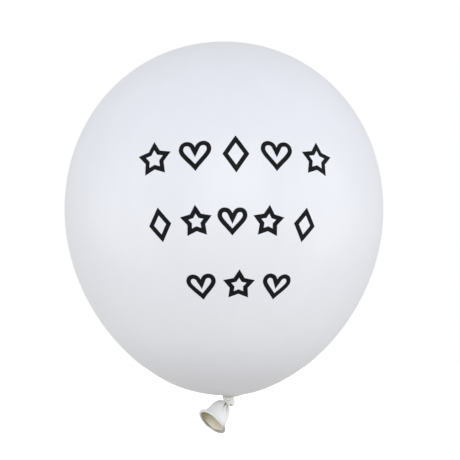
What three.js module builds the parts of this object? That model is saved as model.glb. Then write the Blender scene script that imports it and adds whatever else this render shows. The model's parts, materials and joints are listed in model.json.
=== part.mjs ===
// A round latex party balloon, blown up and tied off. Millimetres, +Z up to the crown, front towards -Y.
// The origin is the tie point, in the narrow collar between the body and the knot.
// The balloon is one dipped moulding. It is built as the stretches that flex against each other:
// body film, throat, knot, root of the tail, and tail with its rolled lip. The print is ink on the film.

import * as THREE from "three";
import { mergeVertices } from "three/addons/utils/BufferGeometryUtils.js";
import { TessellateModifier } from "three/addons/modifiers/TessellateModifier.js";

// body
const bodyRadius = 140;
const crownHeight = 312.1;
const waistHeight = 164.7;
const outletHeight = 1.7;
const outletRadius = 4.3;
const crownPull = 0.5675; // how far the side runs straight up from the waist, of the way to the crown
const crownBreadth = 0.564; // how far the top runs level from the crown, of the body's radius
const footPull = 0.545;
const footBreadth = 0.471;
const filmThickness = 0.0105;
const bodySides = 36;
const bodyRows = 12;

// the body's foot leans over to the tie point
const bodyAxisX = -3;
const leanHeight = 20;

// throat and knot
const collarRadius = 3.8;
const collarFoot = -0.6;
const swayHeight = -1.9; // the knot sways about this point under the collar
const swayBallRadius = 1.6;
const knotCentre = new THREE.Vector3(0.6, 0.2, -5.6);
const knotNormal = new THREE.Vector3(0.29, 0.254, 0.922).normalize();
const knotRingRadius = 3.4;
const knotStrandRadius = 1.5;
const tuckRadius = 1.2;
const tuckAbove = 1.2;
const tuckBelow = 1.1;

// tail: distances run along its axis from the swing point to the mouth
const tailDirection = new THREE.Vector3(-0.601, -0.456, -0.658).normalize();
const swingPoint = knotCentre.clone().addScaledVector(tailDirection, 3.2);
const swingBallRadius = 1.65;
const nodDistance = 3.3;
const nodBallRadius = 2.5;
const sleeveWall = 0.28;
const sleeveSides = 24;
const sleeveOutline = [
  [3.4, 3.3],
  [4.8, 6.2],
  [8, 8.2],
  [13, 9.5],
  [17.5, 10.8],
  [19.9, 11.9],
];
const lipDistance = 21;
const lipRadius = 13;
const lipBeadRadius = 1.2;

// print: every motif sits on the front, in three rows that arch with the body
const inkThickness = 0.02;
const inkGap = 0.3; // clear of the flat faces of the film below
const inkFacet = 10; // longest edge of a printed face, so that it follows the film
const lineWidth = 3.8;
const printRows = [
  { height: 209.5, middleX: 7.2, pitch: 33.7, size: 31, motifs: ["star", "heart", "diamond", "heart", "star"] },
  { height: 154.4, middleX: 4.3, pitch: 29.8, size: 28, motifs: ["diamond", "star", "heart", "star", "diamond"] },
  { height: 101.2, middleX: 9.6, pitch: 30.7, size: 28, motifs: ["heart", "star", "heart"] },
];
const rowArch = 0.001; // fall of a row's ends, per millimetre squared from its middle
const motifTilt = -0.0022; // turn of a motif, radians per millimetre from the row's middle

const latexWhite = { color: 0xeef2f8, roughness: 0.32, metalness: 0 };
const latexCream = { color: 0xe9e6d8, roughness: 0.42, metalness: 0 };
const inkBlack = { color: 0x15151a, roughness: 0.45, metalness: 0 };

const upperOutline = new THREE.CubicBezierCurve(
  new THREE.Vector2(bodyRadius, waistHeight),
  new THREE.Vector2(bodyRadius, waistHeight + crownPull * (crownHeight - waistHeight)),
  new THREE.Vector2(crownBreadth * bodyRadius, crownHeight),
  new THREE.Vector2(0, crownHeight),
);
const lowerOutline = new THREE.CubicBezierCurve(
  new THREE.Vector2(outletRadius, outletHeight),
  new THREE.Vector2(footBreadth * bodyRadius, outletHeight),
  new THREE.Vector2(bodyRadius, waistHeight - footPull * (waistHeight - outletHeight)),
  new THREE.Vector2(bodyRadius, waistHeight),
);

// Merges shared corners and drops faces that have shrunk to a line, such as those at a pole.
function weld(geometry) {
  const bare = geometry.clone();
  bare.deleteAttribute("normal");
  bare.deleteAttribute("uv");
  const merged = mergeVertices(bare, 1e-4);
  const kept = [];
  for (let i = 0; i < merged.index.count; i += 3) {
    const [a, b, c] = [0, 1, 2].map((k) => merged.index.getX(i + k));
    if (a !== b && b !== c && c !== a) kept.push(a, b, c);
  }
  merged.setIndex(kept);
  merged.computeVertexNormals();
  return merged;
}

// A solid turned about the Z axis from (radius, height) points that run up its outside.
function turned(points, sides) {
  return weld(new THREE.LatheGeometry(points, sides).rotateX(Math.PI / 2));
}

function arc(radius, centreHeight, fromDegrees, toDegrees, steps) {
  return Array.from({ length: steps + 1 }, (_, i) => {
    const angle = THREE.MathUtils.degToRad(THREE.MathUtils.lerp(fromDegrees, toDegrees, i / steps));
    const across = Math.abs(Math.cos(angle)) < 1e-9 ? 0 : radius * Math.cos(angle);
    return new THREE.Vector2(across, centreHeight + radius * Math.sin(angle));
  });
}

// The closed section of a thin wall: up its outside, and back down inside it.
function wallSection(outside, thickness) {
  const inside = outside.map((point, i) => {
    const before = outside[Math.max(i - 1, 0)];
    const after = outside[Math.min(i + 1, outside.length - 1)];
    const along = after.clone().sub(before).normalize();
    const inner = point.clone().add(new THREE.Vector2(-along.y, along.x).multiplyScalar(thickness));
    return point.x === 0 ? new THREE.Vector2(0, inner.y) : inner;
  });
  return [...outside, ...inside.reverse(), outside[0].clone()];
}

function axisX(height) {
  const below = Math.max(0, (leanHeight - height) / (leanHeight - outletHeight));
  return bodyAxisX * (1 - below * below);
}

function bodyRadiusAt(height) {
  const outline = height > waistHeight ? upperOutline : lowerOutline;
  let [low, high] = [0, 1];
  for (let i = 0; i < 30; i++) {
    const middle = (low + high) / 2;
    if (outline.getPoint(middle).y < height) low = middle;
    else high = middle;
  }
  return outline.getPoint(low).x;
}

// Above zero outside the body, below zero inside it.
function outsideBody(point) {
  return Math.hypot(point.x - axisX(point.z), point.y) - bodyRadiusAt(point.z);
}

function bodyNormal(point) {
  const step = 0.05;
  const slope = new THREE.Vector3();
  for (const axis of ["x", "y", "z"]) {
    const ahead = point.clone();
    const behind = point.clone();
    ahead[axis] += step;
    behind[axis] -= step;
    slope[axis] = outsideBody(ahead) - outsideBody(behind);
  }
  return slope.normalize();
}

// Moves a point along a direction until it meets the body's outside.
function dropOntoBody(point, direction) {
  const found = point.clone();
  for (let i = 0; i < 20; i++) found.addScaledVector(direction, outsideBody(found));
  return found;
}

function bodyFilm() {
  const outside = [...lowerOutline.getSpacedPoints(bodyRows), ...upperOutline.getSpacedPoints(bodyRows).slice(1)];
  outside[outside.length - 1].x = 0;
  const film = turned(wallSection(outside, filmThickness), bodySides);
  const position = film.getAttribute("position");
  for (let i = 0; i < position.count; i++) {
    position.setX(i, position.getX(i) + axisX(position.getZ(i)));
  }
  return film;
}

function throatGather() {
  const points = [
    ...arc(swayBallRadius, swayHeight, -90, 20, 6),
    new THREE.Vector2(collarRadius, collarFoot),
    ...arc(collarRadius, outletHeight, 0, 90, 6),
  ];
  return turned(points, 24);
}

function tailRoot() {
  const points = [
    ...arc(swingBallRadius, 0, -90, 0, 5),
    ...arc(nodBallRadius, nodDistance, -15, 90, 7),
  ];
  return turned(points, 20);
}

function tailSleeve() {
  const outline = new THREE.SplineCurve(sleeveOutline.map(([along, radius]) => new THREE.Vector2(radius, along)));
  return turned(wallSection(outline.getPoints(12), sleeveWall), sleeveSides);
}

function tuckedStrand() {
  const path = new THREE.CatmullRomCurve3([
    knotCentre.clone().addScaledVector(knotNormal, tuckAbove),
    knotCentre,
    knotCentre.clone().addScaledVector(tailDirection, tuckBelow),
  ]);
  const section = new THREE.Shape().absarc(0, 0, tuckRadius, 0, 2 * Math.PI);
  return new THREE.ExtrudeGeometry(section, { extrudePath: path, steps: 4, curveSegments: 6 });
}

function scaledPath(points, scale) {
  return new THREE.Path(points.map((point) => point.clone().multiplyScalar(scale)));
}

// A line of even width inside a closed outline whose sides all lie about as far from its middle.
function outlined(points, sideDistance) {
  const shape = new THREE.Shape(points);
  shape.holes.push(scaledPath(points, 1 - lineWidth / sideDistance));
  return shape;
}

function starShape(size) {
  const tip = size * 0.5;
  const notch = tip * 0.56;
  const points = Array.from({ length: 10 }, (_, i) => {
    const angle = Math.PI / 2 + (i * Math.PI) / 5;
    const radius = i % 2 ? notch : tip;
    return new THREE.Vector2(radius * Math.cos(angle), radius * Math.sin(angle));
  });
  const side = points[0].distanceTo(points[1]);
  return outlined(points, (tip * notch * Math.sin(Math.PI / 5)) / side);
}

function diamondShape(size) {
  const [halfWidth, halfHeight] = [size * 0.36, size * 0.52];
  const corners = [[halfWidth, 0], [0, halfHeight], [-halfWidth, 0], [0, -halfHeight]];
  const points = corners.map(([across, up]) => new THREE.Vector2(across, up));
  return outlined(points, (halfWidth * halfHeight) / Math.hypot(halfWidth, halfHeight));
}

function heartShape(size) {
  const half = size * 0.44;
  const lobe = new THREE.Shape();
  lobe.moveTo(0, -half);
  lobe.bezierCurveTo(half * 0.5, -half * 0.35, half * 1.05, 0, half, half * 0.42);
  lobe.bezierCurveTo(half * 0.94, half * 1.02, half * 0.16, half * 1.02, 0, half * 0.5);
  const right = lobe.getPoints(5);
  const left = right.slice(1, -1).reverse().map((point) => new THREE.Vector2(-point.x, point.y));
  return outlined([...right, ...left], half * 0.74);
}

const motifShapes = { star: starShape, diamond: diamondShape, heart: heartShape };

// Lays a flat motif on the film, turned by tilt about its middle, as a layer of ink.
function printedMotif(shape, x, height, tilt) {
  const flat = new THREE.ExtrudeGeometry(shape, { depth: inkThickness, bevelEnabled: false });
  const fine = new TessellateModifier(inkFacet, 8).modify(flat.rotateZ(tilt));
  const middle = dropOntoBody(new THREE.Vector3(x, -bodyRadius, height), new THREE.Vector3(0, 1, 0));
  const outward = bodyNormal(middle);
  const across = new THREE.Vector3(0, 0, 1).cross(outward).normalize();
  const up = outward.clone().cross(across);
  const position = fine.getAttribute("position");
  for (let i = 0; i < position.count; i++) {
    const spot = middle.clone();
    spot.addScaledVector(across, position.getX(i)).addScaledVector(up, position.getY(i));
    const onFilm = dropOntoBody(spot, outward.clone().negate());
    onFilm.addScaledVector(bodyNormal(onFilm), inkGap + position.getZ(i));
    position.setXYZ(i, onFilm.x, onFilm.y, onFilm.z);
  }
  return weld(fine);
}

function named(name, geometry, finish) {
  const mesh = new THREE.Mesh(geometry, new THREE.MeshStandardMaterial(finish));
  mesh.name = name;
  return mesh;
}

function facing(object, direction, place) {
  object.quaternion.setFromUnitVectors(new THREE.Vector3(0, 0, 1), direction);
  object.position.copy(place);
  return object;
}

function printedRow({ height, middleX, pitch, size, motifs }, row) {
  return motifs.map((motif, i) => {
    const offset = (i - (motifs.length - 1) / 2) * pitch;
    const fall = rowArch * offset * offset;
    const ink = printedMotif(motifShapes[motif](size), middleX + offset, height - fall, motifTilt * offset);
    return named(`print_row${row + 1}_${i + 1}_${motif}`, ink, inkBlack);
  });
}

const tail = facing(new THREE.Group(), tailDirection, swingPoint);
const lip = named("lip_bead", new THREE.TorusGeometry(lipRadius, lipBeadRadius, 8, 32), latexCream);
lip.position.z = lipDistance;
tail.add(
  named("tail_root", tailRoot(), latexWhite),
  named("tail_sleeve", tailSleeve(), latexWhite),
  lip,
);

const knot = new THREE.Group();
const loopShape = new THREE.TorusGeometry(knotRingRadius, knotStrandRadius, 10, 24);
knot.add(
  facing(named("knot_loop", loopShape, latexWhite), knotNormal, knotCentre),
  named("knot_tuck", tuckedStrand(), latexWhite),
);

const balloon = new THREE.Group();
balloon.add(
  named("envelope", bodyFilm(), latexWhite),
  named("throat", throatGather(), latexWhite),
  knot,
  tail,
  ...printRows.flatMap(printedRow),
);

export default balloon;
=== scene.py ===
import json
import math
import random

import bmesh
import bpy
from mathutils import Matrix, Vector


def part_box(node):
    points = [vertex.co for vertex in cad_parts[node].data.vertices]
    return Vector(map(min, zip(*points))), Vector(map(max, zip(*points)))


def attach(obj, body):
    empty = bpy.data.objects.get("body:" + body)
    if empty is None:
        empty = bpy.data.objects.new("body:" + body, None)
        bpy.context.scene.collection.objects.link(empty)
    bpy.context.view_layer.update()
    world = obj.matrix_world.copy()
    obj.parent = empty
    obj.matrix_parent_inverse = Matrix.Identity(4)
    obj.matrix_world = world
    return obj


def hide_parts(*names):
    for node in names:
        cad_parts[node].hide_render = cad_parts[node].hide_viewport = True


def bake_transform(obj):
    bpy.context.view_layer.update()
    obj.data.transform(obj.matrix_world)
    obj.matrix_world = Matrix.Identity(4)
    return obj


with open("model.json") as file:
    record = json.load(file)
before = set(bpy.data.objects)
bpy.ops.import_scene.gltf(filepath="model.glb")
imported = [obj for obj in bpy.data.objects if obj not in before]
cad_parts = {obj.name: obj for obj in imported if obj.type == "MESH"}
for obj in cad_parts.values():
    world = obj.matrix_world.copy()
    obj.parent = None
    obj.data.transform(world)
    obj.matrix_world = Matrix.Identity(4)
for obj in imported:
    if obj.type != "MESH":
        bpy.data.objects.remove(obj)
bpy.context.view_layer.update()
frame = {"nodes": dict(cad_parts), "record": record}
print("frame loaded:", len(frame["nodes"]), "CAD nodes")

mm = 0.001
weld = 0.001 * mm  # points closer than this are one
up = Vector((0, 0, 1))
joints = {joint["name"]: joint for joint in frame["record"]["behaviour"]["joints"]}

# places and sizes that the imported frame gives
envelopeLow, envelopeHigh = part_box("envelope")
bodyAxisX = (envelopeLow.x + envelopeHigh.x) / 2
bodyRadius = (envelopeHigh.x - envelopeLow.x) / 2
crownHeight = envelopeHigh.z
footHeight = envelopeLow.z
swingPoint = Vector(joints["tail_swing"]["pos_m"])
nodPoint = Vector(joints["tail_nod"]["pos_m"])
tailDirection = (nodPoint - swingPoint).normalized()
knotMiddle = sum(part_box("knot_loop"), Vector()) / 2


def pickOnly(*objects):
    bpy.ops.object.select_all(action="DESELECT")
    for obj in objects:
        obj.select_set(True)
    bpy.context.view_layer.objects.active = objects[0]


def editMode(obj):
    pickOnly(obj)
    bpy.ops.object.mode_set(mode="EDIT")
    bpy.ops.mesh.select_mode(type="VERT")
    bpy.ops.mesh.select_all(action="DESELECT")


def objectMode():
    bpy.ops.object.mode_set(mode="OBJECT")


def selectVerts(obj, test):  # in edit mode: the vertices whose place passes the test
    bpy.ops.mesh.select_all(action="DESELECT")
    mesh = bmesh.from_edit_mesh(obj.data)
    for vert in mesh.verts:
        if test(vert.co):
            vert.select_set(True)
    mesh.select_flush(True)
    bmesh.update_edit_mesh(obj.data)


def pull(move, reach):  # moves what is selected, and what lies within reach of it by less and less
    bpy.ops.transform.translate(
        value=move,
        use_proportional_edit=True,
        proportional_edit_falloff="SMOOTH",
        proportional_size=reach,
    )


def faceOutwards(skin):  # for an open skin round the z axis, which can be left inside out
    spread = sum(face.normal.xy.dot(face.center.xy) * face.area for face in skin.data.polygons)
    if spread < 0:
        editMode(skin)
        bpy.ops.mesh.select_all(action="SELECT")
        bpy.ops.mesh.flip_normals()
        objectMode()


def applyModifier(obj, kind, **settings):
    pickOnly(obj)
    modifier = obj.modifiers.new(kind.title(), kind)
    for key, value in settings.items():
        setattr(modifier, key, value)
    bpy.ops.object.modifier_apply(modifier=modifier.name)


def smoothSurface(obj, levels):
    applyModifier(obj, "SUBSURF", levels=levels, render_levels=levels)


def placeInMesh(obj):
    pickOnly(obj)
    bpy.ops.object.transform_apply(location=True, rotation=True, scale=True)


def applySlots(obj, *materials):
    obj.data.materials.clear()
    for material in materials:
        obj.data.materials.append(material)


def finishPiece(obj, name, material):
    obj.name = name
    obj.data.name = name
    applySlots(obj, material)
    pickOnly(obj)
    bpy.ops.object.shade_smooth()


class Link:  # a shader socket that takes plain arithmetic
    def __init__(self, socket):
        self.socket = socket

    def node(self, kind, settings=None, inputs=None, output=0):
        made = self.socket.id_data.nodes.new(kind)
        for key, value in (settings or {}).items():
            if key == "stops":
                while len(made.color_ramp.elements) < len(value):  # a new ramp has two
                    made.color_ramp.elements.new(1.0)
                for element, (position, tint) in zip(made.color_ramp.elements, value):
                    element.position = position
                    element.color = (*tint, 1)
            else:
                setattr(made, key, value)
        for key, value in (inputs or {}).items():
            if isinstance(value, Link):
                self.socket.id_data.links.new(value.socket, made.inputs[key])
            else:
                made.inputs[key].default_value = value
        return Link(made.outputs[output])

    def math(self, operation, first, second):
        return self.node("ShaderNodeMath", {"operation": operation}, {0: first, 1: second})

    def __add__(self, other):
        return self.math("ADD", self, other)

    def __radd__(self, other):
        return self.math("ADD", other, self)

    def __sub__(self, other):
        return self.math("SUBTRACT", self, other)

    def __rsub__(self, other):
        return self.math("SUBTRACT", other, self)

    def __mul__(self, other):
        return self.math("MULTIPLY", self, other)

    def __rmul__(self, other):
        return self.math("MULTIPLY", other, self)

    def between(self, low, high):  # 0 below low, 1 above high
        return self.node(
            "ShaderNodeMapRange",
            {"interpolation_type": "SMOOTHSTEP"},
            {"Value": self, "From Min": low, "From Max": high},
        )

    def blendColour(self, first, second):  # first where this is 0, second where it is 1
        return self.node(
            "ShaderNodeMix",
            {"data_type": "RGBA"},
            {"Factor": self, 6: first, 7: second},
            output=2,
        )


def startMaterial(name):
    material = bpy.data.materials.new(name)
    material.use_nodes = True
    nodes = material.node_tree.nodes
    shader = nodes["Principled BSDF"]
    place = Link(nodes.new("ShaderNodeTexCoord").outputs["Object"])
    return material, shader, place


def feed(shader, **links):
    names = {"colour": "Base Color", "roughness": "Roughness", "normal": "Normal"}
    for key, link in links.items():
        shader.id_data.links.new(link.socket, shader.inputs[names[key]])


def noise(place, scale, detail=3.0, roughness=0.5, stretch=None):
    where = place
    if stretch:
        where = place.node("ShaderNodeMapping", {}, {"Vector": place, "Scale": stretch})
    return place.node(
        "ShaderNodeTexNoise",
        {},
        {"Vector": where, "Scale": scale, "Detail": detail, "Roughness": roughness},
    )


def bump(place, height, strength, distance):
    return place.node("ShaderNodeBump", {}, {"Height": height, "Strength": strength, "Distance": distance})


bodyLook = {
    # the body's colour is painted a little darker and bluer towards the top: painted shade
    "upper": (0.800, 0.822, 0.893),
    "lower": (0.818, 0.831, 0.868),
    "crown": (0.775, 0.795, 0.862),  # painted shade: the crown and the foot are painted darker, where the top and the bottom of the body are in shade
    "foot": (0.700, 0.695, 0.720),
    "tie": (0.560, 0.552, 0.480),  # painted shade, darker and yellower on the last of the foot, round the tie
    "rise": (40 * mm, 280 * mm),  # the heights between which lower turns into upper
    "crownSpot": (crownHeight - 9 * mm, crownHeight - 0.5 * mm),
    "footShadeHeights": (footHeight - 2 * mm, footHeight + 60 * mm),
    "tieShadeHeights": (footHeight - 1 * mm, footHeight + 2.2 * mm),
    "tieShadeSpread": (7 * mm, 26 * mm),  # out from the axis
    "mottle": 0.012,
    "roughness": 0.30,
    "specular": 0.5,
}


def shade(colour, strength=1.0):
    return tuple(min(1, value * strength) for value in colour) + (1,)


def bodyMaterial():
    look = bodyLook
    material, shader, place = startMaterial("stretched white latex")
    height = place.node("ShaderNodeSeparateXYZ", {}, {"Vector": place}, output=2)
    fromAxis = place.node(
        "ShaderNodeVectorMath",
        {"operation": "LENGTH"},
        {0: place.node("ShaderNodeVectorMath", {"operation": "MULTIPLY"}, {0: place, 1: (1, 1, 0)})},
        output=1,
    )
    cloud = noise(place, 22, detail=4.0)
    streak = noise(place, 60, detail=3.0, stretch=(1, 1, 0.16))
    grain = noise(place, 900, detail=2.0)
    # painted shade: the colour turns a little darker and bluer with height
    rise = height.between(*look["rise"])
    base = rise.blendColour(shade(look["lower"]), shade(look["upper"]))
    tone = (cloud - 0.5) * 1.2 + (streak - 0.5) * 0.8 + 0.5
    thinner = 1 - 2 * look["mottle"]
    dark = rise.blendColour(shade(look["lower"], thinner), shade(look["upper"], thinner))
    thin = tone.between(0.2, 0.9).blendColour(dark, base)
    # painted shade, a little darker at the crown and much darker over the foot
    crownShadeMask = height.between(*look["crownSpot"]) * 0.8
    footShadeMask = 1 - height.between(*look["footShadeHeights"])
    # painted shade round the tie, low on the foot and near the axis
    tieShadeMask = (1 - height.between(*look["tieShadeHeights"])) * (1 - fromAxis.between(*look["tieShadeSpread"]))
    crowned = crownShadeMask.blendColour(thin, shade(look["crown"]))
    footShaded = (footShadeMask * 0.9).blendColour(crowned, shade(look["foot"]))
    feed(
        shader,
        colour=tieShadeMask.blendColour(footShaded, shade(look["tie"])),
        roughness=look["roughness"] + (cloud - 0.5) * 0.06 + (grain - 0.5) * 0.05,
        normal=bump(place, grain * 0.4 + streak, 0.10, 0.06 * mm),
    )
    shader.inputs["Specular IOR Level"].default_value = look["specular"]
    return material


neckLook = {
    "white": (0.890, 0.895, 0.915),
    "collar": (0.885, 0.885, 0.845),
    "valleyShadeColour": (0.46, 0.43, 0.31),  # painted shade: the folds are painted darker and yellower between the pleats
    "valleyShadeDepth": (0.2 * mm, 1.6 * mm),  # where the painted shade in a fold starts, and where it is darkest
    "lip": (0.80, 0.80, 0.80),
    "lipShaded": (0.33, 0.33, 0.325),  # painted shade: the far side of the roll is painted dark grey
    "grooveShadeColour": (0.36, 0.34, 0.26),  # and the groove inside it is painted dark too: painted shade
    "lining": (0.86, 0.83, 0.68),
    # painted shade on one side of the lining
    "liningShade": (0.40, 0.34, 0.18),
    # painted shade deep inside the neck
    "liningDeepShade": (0.16, 0.14, 0.09),
    "liningShadeSide": (-2 * mm, 10 * mm),  # across the tail, where the painted shade on one side of the lining lies
    "deepShadeEnd": (6 * mm, 10.5 * mm),  # along the tail, where the painted shade deep in the neck fades out
    "lipShadeSide": (-15 * mm, -5 * mm),  # across the tail, where the painted shade on the roll's far side lies
    "grooveShade": (11.6 * mm, 12.3 * mm),  # out from the tail's axis, where the painted groove shade fades out
    "ribScale": 1400,
}


def neckMaterial(name, colour, roughness, valleyShadeStrength=1.0):
    look = neckLook
    material, shader, place = startMaterial(name)
    cloud = noise(place, 160, detail=4.0)
    crease = noise(place, 900, detail=4.0, roughness=0.6)
    pore = noise(place, 3200, detail=2.0)
    along = alongTail(place)
    ribs = place.node(
        "ShaderNodeTexNoise",
        {"noise_dimensions": "1D"},
        {"W": along + cloud * 0.9 * mm, "Scale": look["ribScale"], "Detail": 3.0},
    )
    # painted shade in the valleys, as dark as each point was pressed in
    fold = place.node("ShaderNodeAttribute", {"attribute_name": "fold"}, output=2)
    valleyShade = fold.between(*look["valleyShadeDepth"]) * valleyShadeStrength
    tone = (cloud - 0.5) * 0.9 + 0.5
    shades = tone.blendColour(shade(colour, 0.95), shade(colour, 1.03))
    feed(
        shader,
        colour=valleyShade.blendColour(shades, shade(look["valleyShadeColour"])),
        roughness=roughness + (cloud - 0.5) * 0.12 + (crease - 0.5) * 0.10,
        normal=bump(place, crease * 0.6 + ribs * 0.6 + pore * 0.3, 0.25, 0.12 * mm),
    )
    shader.inputs["Subsurface Weight"].default_value = 0.15
    shader.inputs["Subsurface Radius"].default_value = (1.0, 0.85, 0.6)
    shader.inputs["Subsurface Scale"].default_value = 0.5 * mm
    return material


def measured(place, direction):  # how far a place lies from the tail's start, in one direction
    along = {0: place, 1: direction}
    reach = place.node("ShaderNodeVectorMath", {"operation": "DOT_PRODUCT"}, along, output=1)
    return reach - swingPoint.dot(direction)


def alongTail(place):
    return measured(place, tailDirection)


def acrossTail(place):  # to the upper left side of the tail
    return measured(place, tailSide)


def liningMaterial():
    look = neckLook
    material, shader, place = startMaterial("cream inside of the neck")
    cloud = noise(place, 140, detail=4.0)
    crease = noise(place, 700, detail=4.0, roughness=0.6)
    # painted shade, dark olive on the upper left side of the lining
    liningSideShade = (acrossTail(place) + (cloud - 0.5) * 8 * mm).between(*look["liningShadeSide"])
    # painted shade deep inside the neck, towards the knot
    deepShade = 1 - (alongTail(place) + (cloud - 0.5) * 2 * mm).between(*look["deepShadeEnd"])
    liningShaded = liningSideShade.blendColour(shade(look["lining"]), shade(look["liningShade"]))
    feed(
        shader,
        colour=deepShade.blendColour(liningShaded, shade(look["liningDeepShade"])),
        roughness=0.38 + (cloud - 0.5) * 0.15,
        normal=bump(place, crease + cloud, 0.3, 0.2 * mm),
    )
    return material


def lipMaterial():
    look = neckLook
    material, shader, place = startMaterial("rolled lip latex")
    cloud = noise(place, 160, detail=4.0)
    crease = noise(place, 900, detail=4.0, roughness=0.6)
    # painted shade on the far side of the roll
    lipSideShade = 1 - (acrossTail(place) + (cloud - 0.5) * 5 * mm).between(*look["lipShadeSide"])
    lipTone = cloud.between(0.25, 0.75).blendColour(shade(look["lip"], 0.95), shade(look["lip"], 1.04))
    farSideShaded = lipSideShade.blendColour(lipTone, shade(look["lipShaded"]))
    kind = "ShaderNodeVectorMath"
    centred = place.node(kind, {"operation": "SUBTRACT"}, {0: place, 1: swingPoint})
    offAxis = place.node(kind, {"operation": "CROSS_PRODUCT"}, {0: centred, 1: tailDirection})
    fromAxis = place.node(kind, {"operation": "LENGTH"}, {0: offAxis}, output=1)
    # painted shade in the groove on the inner side of the roll
    grooveShade = 1 - (fromAxis + (cloud - 0.5) * 0.5 * mm).between(*look["grooveShade"])
    feed(
        shader,
        colour=grooveShade.blendColour(farSideShaded, shade(look["grooveShadeColour"])),
        roughness=0.40 + (cloud - 0.5) * 0.15,
        normal=bump(place, crease, 0.25, 0.12 * mm),
    )
    return material


inkLook = {
    "dense": (0.0035, 0.0035, 0.005),
    "thin": (0.008, 0.008, 0.011),
    "roughness": 0.5,
    "specular": 0.12,
}


def inkMaterial():
    material, shader, place = startMaterial("black screen ink")
    cloud = noise(place, 120, detail=4.0)
    pinhole = noise(place, 1500, detail=2.0)
    tone = (cloud * 0.6 + pinhole * 0.4).between(0.35, 0.75)
    feed(
        shader,
        colour=tone.blendColour(shade(inkLook["dense"]), shade(inkLook["thin"])),
        roughness=inkLook["roughness"] + (cloud - 0.5) * 0.2,
        normal=bump(place, pinhole, 0.15, 0.03 * mm),
    )
    shader.inputs["Specular IOR Level"].default_value = inkLook["specular"]
    return material


bodyShape = {
    "waistHeight": 164.7 * mm,
    "crownPull": 0.5675,
    "crownBreadth": 0.564,
    "footPull": 0.545,
    "footBreadth": 0.471,
    "columns": 192,
    "longSteps": 40,
    "shortSteps": 7,
    "filletRadius": 6.4 * mm,  # where the foot starts to turn down into the collar
    "collarRadius": 3.75 * mm,
    "collarFoot": -0.9 * mm,
    "collarFlare": 0.9 * mm,
    "collarTurn": 1.6 * mm,  # how far under the foot the collar stands upright
    "collarTaper": 0.97,
    "leanReach": 40 * mm,
    "leanRadius": 9 * mm,
    "sags": [  # where, how far down, how far round
        (Vector((6.0, -1.5, 0)) * mm, 1.65 * mm, 10 * mm),
        (Vector((-4.5, -1, 0)) * mm, 0.4 * mm, 16 * mm),
        (Vector((0.6, 5, 0)) * mm, 0.6 * mm, 11 * mm),
    ],
    "sagRadius": 1.5 * mm,
    "sagHeights": (0.4 * mm, 4 * mm),
    "wall": 0.0105 * mm,
    "gathers": 15,
    "gatherDepth": 0.42 * mm,
    "gatherReach": 0.75 * mm,
    "gatherEdge": 0.6 * mm,  # how far out of the collar a pleat turns into a ridge
    "ridgeHeight": 0.3,  # of the pleat's depth
    "ridgeReach": 1.6 * mm,
    "gatherTop": 2.5 * mm,
    "gatherLine": 0.02 * mm,  # how far from a pleat's line a point may lie
    "seed": 4,
}


def bezierLine(points, steps):  # points: (place, handle before, handle after) as (radius, height)
    bpy.ops.curve.primitive_bezier_curve_add()
    line = bpy.context.object
    line.data.resolution_u = steps
    spline = line.data.splines[0]
    spline.bezier_points.add(len(points) - 2)
    for knot, places in zip(spline.bezier_points, points):
        knot.handle_left_type = knot.handle_right_type = "FREE"
        at, before, after = [Vector((radius, 0, height)) for radius, height in places]
        knot.co, knot.handle_left, knot.handle_right = at, before, after
    pickOnly(line)
    bpy.ops.object.convert(target="MESH")
    return bpy.context.object


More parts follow.
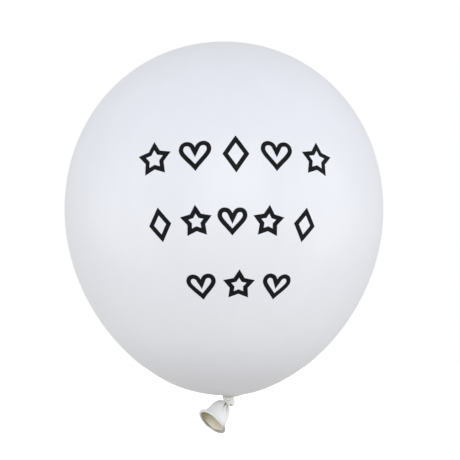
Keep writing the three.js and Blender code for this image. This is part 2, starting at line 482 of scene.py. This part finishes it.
def makeBody(material):
    shape = bodyShape
    waist, top, foot = shape["waistHeight"], crownHeight, footHeight
    collar, fillet, low = shape["collarRadius"], shape["filletRadius"], shape["collarFoot"]
    aboveWaist = (bodyRadius, waist + shape["crownPull"] * (top - waist))
    belowWaist = (bodyRadius, waist - shape["footPull"] * (waist - foot))
    sides = bezierLine(
        [
            ((0, top), (0, top), (shape["crownBreadth"] * bodyRadius, top)),
            ((bodyRadius, waist), aboveWaist, belowWaist),
            ((fillet, foot), (shape["footBreadth"] * bodyRadius, foot), (fillet, foot)),
        ],
        shape["longSteps"],
    )
    neck = bezierLine(
        [
            ((fillet, foot), (fillet, foot), (collar + shape["collarFlare"], foot - 0.02 * mm)),
            ((collar, foot - shape["collarTurn"]), (collar, foot - 0.5 * mm), (collar, foot - 1.9 * mm)),
            ((collar * shape["collarTaper"], low), (collar, low + 0.3 * mm), (collar, low)),
        ],
        shape["shortSteps"],
    )
    pickOnly(sides, neck)
    bpy.ops.object.join()
    editMode(sides)
    bpy.ops.mesh.select_all(action="SELECT")
    bpy.ops.mesh.remove_doubles(threshold=weld)
    bpy.ops.mesh.select_all(action="SELECT")
    bpy.ops.mesh.spin(steps=shape["columns"], angle=2 * math.pi, center=(0, 0, 0), axis=(0, 0, 1))
    bpy.ops.mesh.select_all(action="SELECT")
    bpy.ops.mesh.remove_doubles(threshold=weld)
    bpy.ops.mesh.select_all(action="SELECT")
    bpy.ops.mesh.normals_make_consistent(inside=False)

    # the tie gathers the collar, and its pleats run out a little way over the foot
    draw = random.Random(shape["seed"])
    edge = collar + shape["gatherEdge"]
    columnStep = 2 * math.pi / shape["columns"]
    for gather in range(shape["gathers"]):
        turn = 2 * math.pi * (gather + draw.uniform(-0.3, 0.3)) / shape["gathers"]
        column = round(turn / columnStep) * columnStep
        out = Vector((math.cos(column), math.sin(column), 0))
        depth = shape["gatherDepth"] * draw.uniform(0.6, 1.2)

        def onColumn(place, inner, outer):
            along = place.dot(out)
            aside = (place - along * out).xy.length
            return inner < along < outer and aside < shape["gatherLine"] and place.z < shape["gatherTop"]

        selectVerts(sides, lambda place: onColumn(place, 2 * mm, edge))
        pull(-depth * out, shape["gatherReach"])
        selectVerts(sides, lambda place: onColumn(place, edge, fillet + 2 * mm))
        pull(shape["ridgeHeight"] * depth * up, shape["ridgeReach"])

    # the body stands a little to one side of the tie point, and its foot leans over to it
    bpy.ops.mesh.select_all(action="SELECT")
    bpy.ops.transform.translate(value=(bodyAxisX, 0, 0))
    axis = Vector((bodyAxisX, 0))

    def near(place, middle, radius):
        return (place.xy - middle).length < radius

    selectVerts(sides, lambda place: place.z < foot + 0.3 * mm and near(place, axis, shape["leanRadius"]))
    pull((-bodyAxisX, 0, 0), shape["leanReach"])
    lowest, highest = shape["sagHeights"]
    sagRadius = shape["sagRadius"]
    for middle, drop, reach in shape["sags"]:
        selectVerts(sides, lambda place: lowest < place.z < highest and near(place, middle.xy, sagRadius))
        pull(-drop * up, reach)
    objectMode()
    applyModifier(sides, "SOLIDIFY", thickness=shape["wall"], offset=-1)
    finishPiece(sides, "body_film", material)
    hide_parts("envelope", "throat")
    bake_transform(sides)
    return sides


printShape = {
    "line": 3.8 * mm,
    "notch": 0.56,
    "heartHalf": 0.44,
    "diamondSides": (0.36, 0.52),
    "cuts": {"star": 5, "heart": 2, "diamond": 9},  # in each edge, so that it follows the film
    "rows": [  # height, middle, pitch, size and motifs, in millimetres
        (209.5, 7.2, 33.7, 31, "star heart diamond heart star"),
        (154.4, 4.3, 29.8, 28, "diamond star heart star diamond"),
        (101.2, 9.6, 30.7, 28, "heart star heart"),
    ],
    "arch": 0.001,  # how the rows bend down to their ends
    "tilt": -0.0022,  # radians for each millimetre from the middle of a row
    "away": 8 * mm,  # how far in front of the film a motif starts
    "clear": 0.03 * mm,
    "ink": 0.02 * mm,
}


def flatHeart(half):
    bpy.ops.curve.primitive_bezier_circle_add(radius=1)
    heart = bpy.context.object
    heart.data.resolution_u = 9
    right = Vector((half, half * 0.42, 0))
    lobeTop = Vector((half * 0.94, half * 1.02, 0))
    lobeIn = Vector((half * 0.16, half * 1.02, 0))
    belowLobe = Vector((half * 1.05, 0, 0))
    tipOut = Vector((half * 0.5, -half * 0.35, 0))
    mirror = Matrix.Scale(-1, 3, Vector((1, 0, 0)))
    points = [  # tip, right, notch, left
        (Vector((0, -half, 0)), mirror @ tipOut, tipOut),
        (right, belowLobe, lobeTop),
        (Vector((0, half * 0.5, 0)), lobeIn, mirror @ lobeIn),
        (mirror @ right, mirror @ lobeTop, mirror @ belowLobe),
    ]
    for knot, (at, before, after) in zip(heart.data.splines[0].bezier_points, points):
        knot.handle_left_type = knot.handle_right_type = "FREE"
        knot.co, knot.handle_left, knot.handle_right = at, before, after
    pickOnly(heart)
    bpy.ops.object.convert(target="MESH")
    editMode(heart)
    bpy.ops.mesh.select_all(action="SELECT")
    bpy.ops.mesh.remove_doubles(threshold=weld)
    bpy.ops.mesh.select_all(action="SELECT")
    bpy.ops.mesh.edge_face_add()
    objectMode()
    return heart


def flatStar(tip, notch):
    bpy.ops.mesh.primitive_circle_add(vertices=10, radius=tip, fill_type="NGON")
    star = bpy.context.object
    editMode(star)
    selectVerts(star, lambda place: round(math.degrees(math.atan2(place.y, place.x)) - 90) % 72 == 36)
    bpy.ops.transform.resize(value=(notch, notch, 1), center_override=(0, 0, 0))
    objectMode()
    return star


def flatDiamond(halfWidth, halfHeight):
    bpy.ops.mesh.primitive_circle_add(vertices=4, radius=1, fill_type="NGON")
    diamond = bpy.context.object
    editMode(diamond)
    bpy.ops.mesh.select_all(action="SELECT")
    bpy.ops.transform.resize(value=(halfWidth, halfHeight, 1), center_override=(0, 0, 0))
    objectMode()
    return diamond


def outlined(motif, line, cuts):  # leaves an even line inside the outline, cut finely to follow the film
    editMode(motif)
    bpy.ops.mesh.select_all(action="SELECT")
    bpy.ops.mesh.normals_make_consistent(inside=False)
    bpy.ops.mesh.inset(thickness=line, depth=0, use_even_offset=True)
    bpy.ops.mesh.delete(type="FACE")
    bpy.ops.mesh.select_all(action="SELECT")
    bpy.ops.mesh.subdivide(number_cuts=cuts)
    mesh = bmesh.from_edit_mesh(motif.data)
    if sum(face.normal.z for face in mesh.faces) < 0:
        bpy.ops.mesh.select_all(action="SELECT")
        bpy.ops.mesh.flip_normals()
    objectMode()


def flatMotif(kind, size):
    if kind == "star":
        motif = flatStar(0.5 * size, printShape["notch"])
    elif kind == "heart":
        motif = flatHeart(printShape["heartHalf"] * size)
    else:
        motif = flatDiamond(*(share * size for share in printShape["diamondSides"]))
    outlined(motif, printShape["line"], printShape["cuts"][kind])
    return motif


def makePrint(body, material):
    patterns = {}
    for rowNumber, (rowHeight, rowMiddle, pitch, size, motifs) in enumerate(printShape["rows"], 1):
        kinds = motifs.split()
        for number, kind in enumerate(kinds, 1):
            pattern = (kind, size)
            if pattern not in patterns:
                patterns[pattern] = flatMotif(kind, size * mm)
            motif = patterns[pattern].copy()
            motif.data = patterns[pattern].data.copy()
            bpy.context.collection.objects.link(motif)
            offset = (number - (len(kinds) + 1) / 2) * pitch
            height = rowHeight - printShape["arch"] * offset * offset
            start = Vector(((rowMiddle + offset) * mm, -1, height * mm))
            middle, outward = body.ray_cast(start, Vector((0, 1, 0)))[1:3]
            across = up.cross(outward).normalized()
            facing = Matrix((across, outward.cross(across), outward)).transposed().to_4x4()
            tilted = facing @ Matrix.Rotation(printShape["tilt"] * offset, 4, "Z")
            motif.matrix_world = Matrix.Translation(middle + printShape["away"] * outward) @ tilted
            applyModifier(
                motif,
                "SHRINKWRAP",
                target=body,
                wrap_method="PROJECT",
                wrap_mode="ABOVE_SURFACE",
                use_project_z=True,
                use_negative_direction=True,
                use_positive_direction=False,
                offset=printShape["clear"],
            )
            placeInMesh(motif)
            applyModifier(motif, "SOLIDIFY", thickness=printShape["ink"], offset=1)
            finishPiece(motif, f"ink_row{rowNumber}_{number}_{kind}", material)
            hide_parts(f"print_row{rowNumber}_{number}_{kind}")
            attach(motif, "body")
        print("printed row", rowNumber)
    for pattern in patterns.values():
        bpy.data.objects.remove(pattern)


def ringStack(sides, stations):
    # a skin through level rings: (height, half depth, half width, shift in x, shift in y), from its open end
    height, depth, width, shiftX, shiftY = [value * mm for value in stations[0]]
    bpy.ops.mesh.primitive_circle_add(vertices=sides, radius=1)
    skin = bpy.context.object
    editMode(skin)
    bpy.ops.mesh.select_all(action="SELECT")
    bpy.ops.transform.resize(value=(depth, width, 1), center_override=(0, 0, 0))
    bpy.ops.transform.translate(value=(shiftX, shiftY, height))
    for station in stations[1:]:
        following = [value * mm for value in station]
        step = (following[3] - shiftX, following[4] - shiftY, following[0] - height)
        bpy.ops.mesh.extrude_region_move(TRANSFORM_OT_translate={"value": step})
        grow = (following[1] / depth, following[2] / width, 1)
        height, depth, width, shiftX, shiftY = following
        bpy.ops.transform.resize(value=grow, center_override=(shiftX, shiftY, height))
    bpy.ops.mesh.edge_face_add()  # closes the last ring
    bpy.ops.mesh.select_all(action="SELECT")
    bpy.ops.mesh.normals_make_consistent(inside=False)
    objectMode()
    faceOutwards(skin)
    return skin


def middleOf(stations):  # the middle of a ring stack at any height
    ordered = sorted(stations)

    def middleAt(height):
        place = height / mm
        for lower, upper in zip(ordered, ordered[1:]):
            if place <= upper[0]:
                break
        share = min(1, max(0, (place - lower[0]) / (upper[0] - lower[0])))
        return Vector((
            (lower[3] + share * (upper[3] - lower[3])) * mm,
            (lower[4] + share * (upper[4] - lower[4])) * mm,
            height,
        ))

    return middleAt


foldHalfWidth = 0.22 * mm


def pressFold(skin, path, depth, reach, middleAt):
    # presses a valley between two pleats into a skin, deep at the start of its path and fading to its end
    # path: (height, angle) at each end; middleAt gives the middle of the skin at a height
    (fromHeight, fromAngle), (toHeight, toAngle) = path

    def onPath(place, share):
        along = (place.z - fromHeight) / (toHeight - fromHeight)
        if along < 0 or along > share:
            return False
        middle = middleAt(place.z)
        turn = math.atan2(place.y - middle.y, place.x - middle.x)
        across = turn - fromAngle - along * (toAngle - fromAngle)
        across = (across + math.pi) % (2 * math.pi) - math.pi
        return abs(across) * (place - middle).xy.length < foldHalfWidth

    editMode(skin)
    for share in (0.4, 0.7, 1.0):
        angle = fromAngle + 0.5 * share * (toAngle - fromAngle)
        selectVerts(skin, lambda place: onPath(place, share))
        pull((-depth / 3 * math.cos(angle), -depth / 3 * math.sin(angle), 0), reach)
    objectMode()


def noteFolds(skin, smooth):  # keeps how far each point was pressed in, for the material to paint shade into the valleys
    fold = skin.data.attributes.new("fold", "FLOAT", "POINT")
    moved = [(vert.co - before).length for vert, before in zip(skin.data.vertices, smooth)]
    fold.data.foreach_set("value", moved)


knotShape = {
    "normal": Vector((0.29, 0.254, 0.922)).normalized(),
    "ring": 3.35 * mm,
    "strand": 1.65 * mm,
    "columns": 96,
    "lines": 9,
    "lineDepth": 0.2 * mm,
    "lobeLift": Vector((0.5, -0.3, 2.1)) * mm,
    "lobeAt": Vector((4.2, -0.3, -4.3)) * mm,  # the fat side of the turn, on the right of the tail
    "lobeGrow": (1.5, 1.4, 2.5),
    "lobeRadius": 2.1 * mm,
    "lobeReach": 3.4 * mm,
    "liftSide": 2.6 * mm,  # from the middle of the knot
    "liftReach": 3.2 * mm,
    "dents": [  # where the turn is pinched: place, push, reach
        (Vector((2.9, -2.4, -7.7)) * mm, Vector((0, 1.1, 0.3)) * mm, 1.2 * mm),
        (Vector((2.0, -3.4, -3.2)) * mm, Vector((0, 0.5, 0)) * mm, 1.2 * mm),
    ],
    "dentRadius": 1.0 * mm,
    "gatherStations": [  # from the collar down into the knot: height, half depth, half width, x, y
        (0.9, 3.75, 3.7, 0, 0),
        (0.1, 4.05, 3.9, -0.1, 0),
        (-0.8, 4.25, 4.0, -0.2, 0),
        (-1.7, 4.3, 4.0, -0.2, 0),
        (-2.5, 3.95, 3.7, -0.1, 0),
        (-3.2, 2.9, 3.0, 0.2, 0.1),
        (-4.2, 2.3, 2.3, 0.4, 0.15),
        (-5.4, 1.8, 1.8, 0.5, 0.15),
        (-6.4, 1.3, 1.3, 0.4, 0.05),
    ],
    "gathers": 11,
    "gatherEnds": (1.0 * mm, -4.0 * mm),
    "gatherWall": 0.12 * mm,
    "gatherSides": 66,
    "seed": 11,
}


def makeNeckGather(material):
    shape = knotShape
    stations = shape["gatherStations"]
    gather = ringStack(shape["gatherSides"], stations)
    smoothSurface(gather, 1)
    smooth = [vert.co.copy() for vert in gather.data.vertices]
    draw = random.Random(shape["seed"])
    above, below = shape["gatherEnds"]
    for number in range(shape["gathers"]):
        turn = 2 * math.pi * (number + draw.uniform(-0.3, 0.3)) / shape["gathers"]
        path = ((above, turn), (below, turn + draw.uniform(-0.25, 0.25)))
        depth = draw.uniform(0.3, 0.7) * mm
        pressFold(gather, path, depth, draw.uniform(0.55, 0.9) * mm, middleOf(stations))
    noteFolds(gather, smooth)
    smoothSurface(gather, 1)
    applyModifier(gather, "SOLIDIFY", thickness=shape["gatherWall"], offset=-1)
    finishPiece(gather, "neck_gather", material)
    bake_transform(gather)


def makeKnot(material):
    shape = knotShape
    bpy.ops.mesh.primitive_torus_add(
        major_segments=shape["columns"],
        minor_segments=2 * shape["lines"],
        major_radius=shape["ring"],
        minor_radius=shape["strand"],
    )
    loop = bpy.context.object
    # every second line round the strand sinks, so that the turn shows the gathered folds it is made of
    editMode(loop)

    def onLine(place):
        along = math.atan2(place.z, place.xy.length - shape["ring"])
        return round(along / (math.pi / shape["lines"])) % 2 == 0

    selectVerts(loop, onLine)
    bpy.ops.transform.shrink_fatten(value=-shape["lineDepth"])
    objectMode()
    turned = up.rotation_difference(shape["normal"]).to_matrix().to_4x4()
    loop.matrix_world = Matrix.Translation(knotMiddle) @ turned
    placeInMesh(loop)
    editMode(loop)
    lobe = shape["lobeAt"]
    selectVerts(loop, lambda place: place.x > knotMiddle.x + shape["liftSide"])
    pull(shape["lobeLift"], shape["liftReach"])
    selectVerts(loop, lambda place: (place - lobe).length < shape["lobeRadius"])
    bpy.ops.transform.resize(
        value=shape["lobeGrow"],
        center_override=lobe,
        use_proportional_edit=True,
        proportional_edit_falloff="SMOOTH",
        proportional_size=shape["lobeReach"],
    )
    objectMode()
    smoothSurface(loop, 1)
    smooth = [vert.co.copy() for vert in loop.data.vertices]
    editMode(loop)
    for middle, push, reach in shape["dents"]:
        selectVerts(loop, lambda place: (place - middle).length < shape["dentRadius"])
        pull(push, reach)
    objectMode()
    noteFolds(loop, smooth)
    smoothSurface(loop, 1)
    finishPiece(loop, "knot_turn", material)
    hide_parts("knot_loop")
    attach(loop, "knot")


tuckShape = {
    "sides": 36,
    "stations": [  # from one end of the strand to the other: height, half depth, half width, x, y
        (2.4, 0.9, 1.1, 0, 0),
        (1.5, 1.6, 1.8, 0, 0),
        (0, 1.7, 1.9, 0, 0),
        (-1.5, 1.6, 1.8, 0, 0),
        (-2.4, 0.9, 1.1, 0, 0),
    ],
    "folds": 6,
    "foldEnds": (2.2 * mm, -2.2 * mm),
    "foldDepth": 0.35 * mm,
    "foldReach": 0.6 * mm,
}


def makeTuck(material):
    shape = tuckShape
    stations = shape["stations"]
    tuck = ringStack(shape["sides"], stations)
    editMode(tuck)
    selectVerts(tuck, lambda place: place.z > stations[0][0] * mm - weld)
    bpy.ops.mesh.edge_face_add()
    objectMode()
    smoothSurface(tuck, 1)
    above, below = shape["foldEnds"]
    for number in range(shape["folds"]):
        turn = 2 * math.pi / shape["folds"] * number
        path = ((above, turn), (below, turn))
        pressFold(tuck, path, shape["foldDepth"], shape["foldReach"], middleOf(stations))
    smoothSurface(tuck, 1)
    turned = up.rotation_difference(-tailDirection).to_matrix().to_4x4()
    tuck.matrix_world = Matrix.Translation((knotMiddle + swingPoint) / 2) @ turned
    placeInMesh(tuck)
    finishPiece(tuck, "tucked_strand", material)
    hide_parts("knot_tuck")
    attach(tuck, "knot")


# the tail is shaped upright, on axes of its own: x to the front, y to the upper left, z out along the tail
tailFront = (Vector((0, -1, 0)) + tailDirection.y * tailDirection).normalized()
tailSide = tailDirection.cross(tailFront)
tailAxes = Matrix.Translation(swingPoint) @ Matrix((tailFront, tailSide, tailDirection)).transposed().to_4x4()

tailShape = {
    "sides": 72,
    "stations": [  # from the mouth into the knot: distance, half depth, half width, shift to front, to side
        (19.8, 12.8, 12.8, 0, 0),
        (18.9, 12.1, 12.1, 0, 0),
        (17.5, 11.5, 11.5, 0, 0),
        (15.3, 10.6, 10.95, 0.1, -0.15),
        (12.0, 9.5, 10.4, 0.3, 0.1),
        (8.6, 8.3, 9.75, 0.6, 0.6),
        (5.7, 7.0, 9.0, 0.85, 1.05),
        (3.3, 5.8, 8.0, 1.0, 1.3),
        (1.5, 4.6, 6.8, 1.05, 1.35),
        (0.0, 3.5, 5.6, 1.05, 1.35),
        (-1.2, 2.4, 4.3, 1.0, 1.3),
        (-2.0, 1.3, 2.6, 0.9, 1.2),
    ],
    "folds": [  # from and to, each (distance, angle from the front), then depth and reach
        (-1.0, 6, 9.0, 0, 1.5, 1.5),
        (0.1, 6, 2.8, 6, 2.4, 1.2),
        (-0.5, -31, 11, -37, 1.5, 1.5),
        (0.5, -18, 4, -12, 0.4, 0.9),
        (-1, -66, 5, -70, 0.35, 1.0),
        (-1, -102, 7, -100, 1.0, 1.8),
        (-1, -148, 9, -150, 1.2, 2.0),
        (-1, 172, 10, 168, 1.0, 2.2),
        (-1, 130, 8, 124, 1.2, 2.0),
        (-1, 62, 5, 70, 0.7, 1.6),
        (0, 95, 12, 92, 0.4, 2.0),
        (0, 36, 7, 40, 0.25, 1.5),
    ],
    "wall": 0.28 * mm,
    "cut": 2.0 * mm,
}


def makeTail(outside, lining, lipLatex):
    shape = tailShape
    sleeve = ringStack(shape["sides"], shape["stations"])
    smoothSurface(sleeve, 1)
    smooth = [vert.co.copy() for vert in sleeve.data.vertices]
    for low, fromAngle, high, toAngle, depth, reach in shape["folds"]:
        path = ((low * mm, math.radians(fromAngle)), (high * mm, math.radians(toAngle)))
        pressFold(sleeve, path, depth * mm, reach * mm, middleOf(shape["stations"]))
    noteFolds(sleeve, smooth)
    smoothSurface(sleeve, 1)

    applySlots(sleeve, outside, lining)
    applyModifier(sleeve, "SOLIDIFY", thickness=shape["wall"], offset=-1, material_offset=1)
    sleeve.matrix_world = tailAxes
    placeInMesh(sleeve)
    pickOnly(sleeve)
    bpy.ops.object.shade_smooth()
    whole = sleeve.copy()
    whole.data = sleeve.data.copy()
    bpy.context.collection.objects.link(whole)

    # the start of the tail turns with the stem, so the sleeve is cut there, and meets its start edge to edge
    cutPoint = swingPoint + shape["cut"] * tailDirection
    editMode(sleeve)
    bpy.ops.mesh.select_all(action="SELECT")
    bpy.ops.mesh.bisect(plane_co=cutPoint, plane_no=tailDirection)
    selectVerts(sleeve, lambda place: (place - cutPoint).dot(tailDirection) < 0.5 * weld)
    bpy.ops.mesh.separate(type="SELECTED")
    objectMode()
    start = next(obj for obj in bpy.context.selected_objects if obj is not sleeve)
    for part, name in ((sleeve, "tail_skirt"), (start, "tail_shoulder")):
        editMode(part)
        bpy.ops.mesh.select_mode(type="EDGE")
        bpy.ops.mesh.select_non_manifold()
        bpy.ops.mesh.bridge_edge_loops()
        objectMode()
        part.name = name
        part.data.name = name
        applyModifier(
            part,
            "DATA_TRANSFER",
            object=whole,
            use_loop_data=True,
            data_types_loops={"CUSTOM_NORMAL"},
            loop_mapping="POLYINTERP_NEAREST",
        )
    bpy.data.objects.remove(whole)
    makeLip(lipLatex)
    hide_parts("tail_sleeve")
    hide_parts("tail_root")
    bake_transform(start)
    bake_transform(sleeve)


lipShape = {
    "distance": 20.0 * mm,
    "radius": 12.95 * mm,
    "bead": 1.38 * mm,
    "columns": 96,
    "lines": 20,
    "rollLines": (3, 7, 11, 15),  # which lines round the bead sink between two turns of the roll
    "rollDepth": 0.14 * mm,
    "uneven": 0.16 * mm,
    "bulges": 14,
    "seed": 5,
}


def makeLip(material):
    shape = lipShape
    bpy.ops.mesh.primitive_torus_add(
        major_segments=shape["columns"],
        minor_segments=shape["lines"],
        major_radius=shape["radius"],
        minor_radius=shape["bead"],
    )
    lip = bpy.context.object
    editMode(lip)

    def onRollLine(place):
        along = math.atan2(place.z, place.xy.length - shape["radius"]) % (2 * math.pi)
        return round(along / (2 * math.pi / shape["lines"])) in shape["rollLines"]

    selectVerts(lip, onRollLine)
    bpy.ops.transform.shrink_fatten(value=-shape["rollDepth"])
    draw = random.Random(shape["seed"])
    for bulge in range(shape["bulges"]):  # the roll is not quite even
        turn = draw.uniform(0, 2 * math.pi)
        middle = shape["radius"] * Vector((math.cos(turn), math.sin(turn), 0))
        selectVerts(lip, lambda place: (place - middle).length < 1.1 * shape["bead"])
        push = Vector([draw.uniform(-1, 1) * shape["uneven"] for axis in range(3)])
        pull(push, draw.uniform(3, 6) * mm)
    objectMode()
    smoothSurface(lip, 1)
    lip.matrix_world = tailAxes @ Matrix.Translation((0, 0, shape["distance"]))
    placeInMesh(lip)
    finishPiece(lip, "lip_roll", material)
    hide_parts("lip_bead")
    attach(lip, "tail")


studio = {
    "distance": 2.0,
    "aim": (2.3 * mm, 146.7 * mm),
    "width": 405.0 * mm,  # how much of the object's plane the view takes in
    "sensor": 36,
    "floor": -2.7,
    "floorWidth": 90,
    "boxes": {  # azimuth, height, distance, size, power, turn about its own aim
        "left softbox": (-72, 0.16, 1.25, 1.15, 2.65, 45),
        "right softbox": (72, 0.16, 1.25, 1.15, 3.06, 45),
        "low softbox": (-12, -0.45, 2.0, 1.2, 1.1, 0),
        "front softbox": (8, 0.75, 2.3, 1.6, 12.9, 0),
    },
    "lightsAim": Vector((bodyAxisX, 0, 0.16)),
    "sky": [(0.0, 0.645), (0.5, 0.757), (1.0, 0.757)],  # from straight down to straight up
}


def makeCamera():
    aimX, aimZ = studio["aim"]
    bpy.ops.object.camera_add(location=(aimX, -studio["distance"], aimZ), rotation=(math.pi / 2, 0, 0))
    camera = bpy.context.object
    camera.data.sensor_width = studio["sensor"]
    camera.data.lens = studio["sensor"] * studio["distance"] / studio["width"]
    camera.data.clip_end = 50
    bpy.context.scene.camera = camera


def makeLights():
    for name, (azimuth, height, distance, size, power, turn) in studio["boxes"].items():
        angle = math.radians(azimuth)
        place = Vector((math.sin(angle), -math.cos(angle), 0)) * distance + height * up
        bpy.ops.object.light_add(type="AREA", location=place)
        light = bpy.context.object
        light.name = name
        light.data.shape = "SQUARE"
        light.data.size = size
        light.data.energy = power
        aimed = (studio["lightsAim"] - place).to_track_quat("-Z", "Y").to_matrix().to_4x4()
        turned = Matrix.Rotation(math.radians(turn), 4, "Z")
        light.matrix_world = Matrix.Translation(place) @ aimed @ turned
    world = bpy.data.worlds.new("white studio")
    bpy.context.scene.world = world
    world.use_nodes = True
    nodes = world.node_tree.nodes
    nodes.clear()
    where = Link(nodes.new("ShaderNodeTexCoord").outputs["Generated"])
    level = where.node("ShaderNodeSeparateXYZ", {}, {"Vector": where}, output=2)
    ramp = [(position, (strength, strength, strength)) for position, strength in studio["sky"]]
    sky = where.node("ShaderNodeValToRGB", {"stops": ramp}, {"Fac": level * 0.5 + 0.5})
    soft = where.node("ShaderNodeBackground", {}, {"Color": sky})
    plain = where.node("ShaderNodeBackground", {}, {"Color": (1, 1, 1, 1)})
    seen = where.node("ShaderNodeLightPath", output=0)
    mixed = where.node("ShaderNodeMixShader", {}, {0: seen, 1: soft, 2: plain})
    out = nodes.new("ShaderNodeOutputWorld")
    world.node_tree.links.new(mixed.socket, out.inputs["Surface"])


def makeFloor():
    bpy.ops.mesh.primitive_plane_add(size=studio["floorWidth"], location=(0, 0, studio["floor"]))
    floor = bpy.context.object
    floor.name = "studio_floor"
    material, shader, place = startMaterial("pale studio floor")
    speck = noise(place, 40, detail=3.0)
    pale = speck.blendColour((0.93, 0.93, 0.93, 1), (0.96, 0.96, 0.96, 1))
    feed(shader, colour=pale, roughness=speck * 0.1 + 0.6)
    shader.inputs["Emission Color"].default_value = (1, 1, 1, 1)
    shader.inputs["Emission Strength"].default_value = 1
    floor.data.materials.append(material)
    floor.visible_diffuse = False
    floor.visible_glossy = False


def setLook():
    view = bpy.context.scene.view_settings
    view.view_transform = "Standard"
    view.look = "None"
    view.exposure = 0
    view.gamma = 1


makeCamera()
makeLights()
makeFloor()
setLook()
print("studio ready")

neckWhite = neckMaterial("gathered white latex", neckLook["white"], 0.40)
collarWhite = neckMaterial("collar latex", neckLook["collar"], 0.40, valleyShadeStrength=0.55)
liningCream = liningMaterial()
lipGrey = lipMaterial()

body = makeBody(bodyMaterial())
print("body blown")
makePrint(body, inkMaterial())
makeNeckGather(collarWhite)
makeKnot(neckWhite)
makeTuck(neckWhite)
print("knot tied")
makeTail(neckWhite, liningCream, lipGrey)
print("tail and lip shaped")
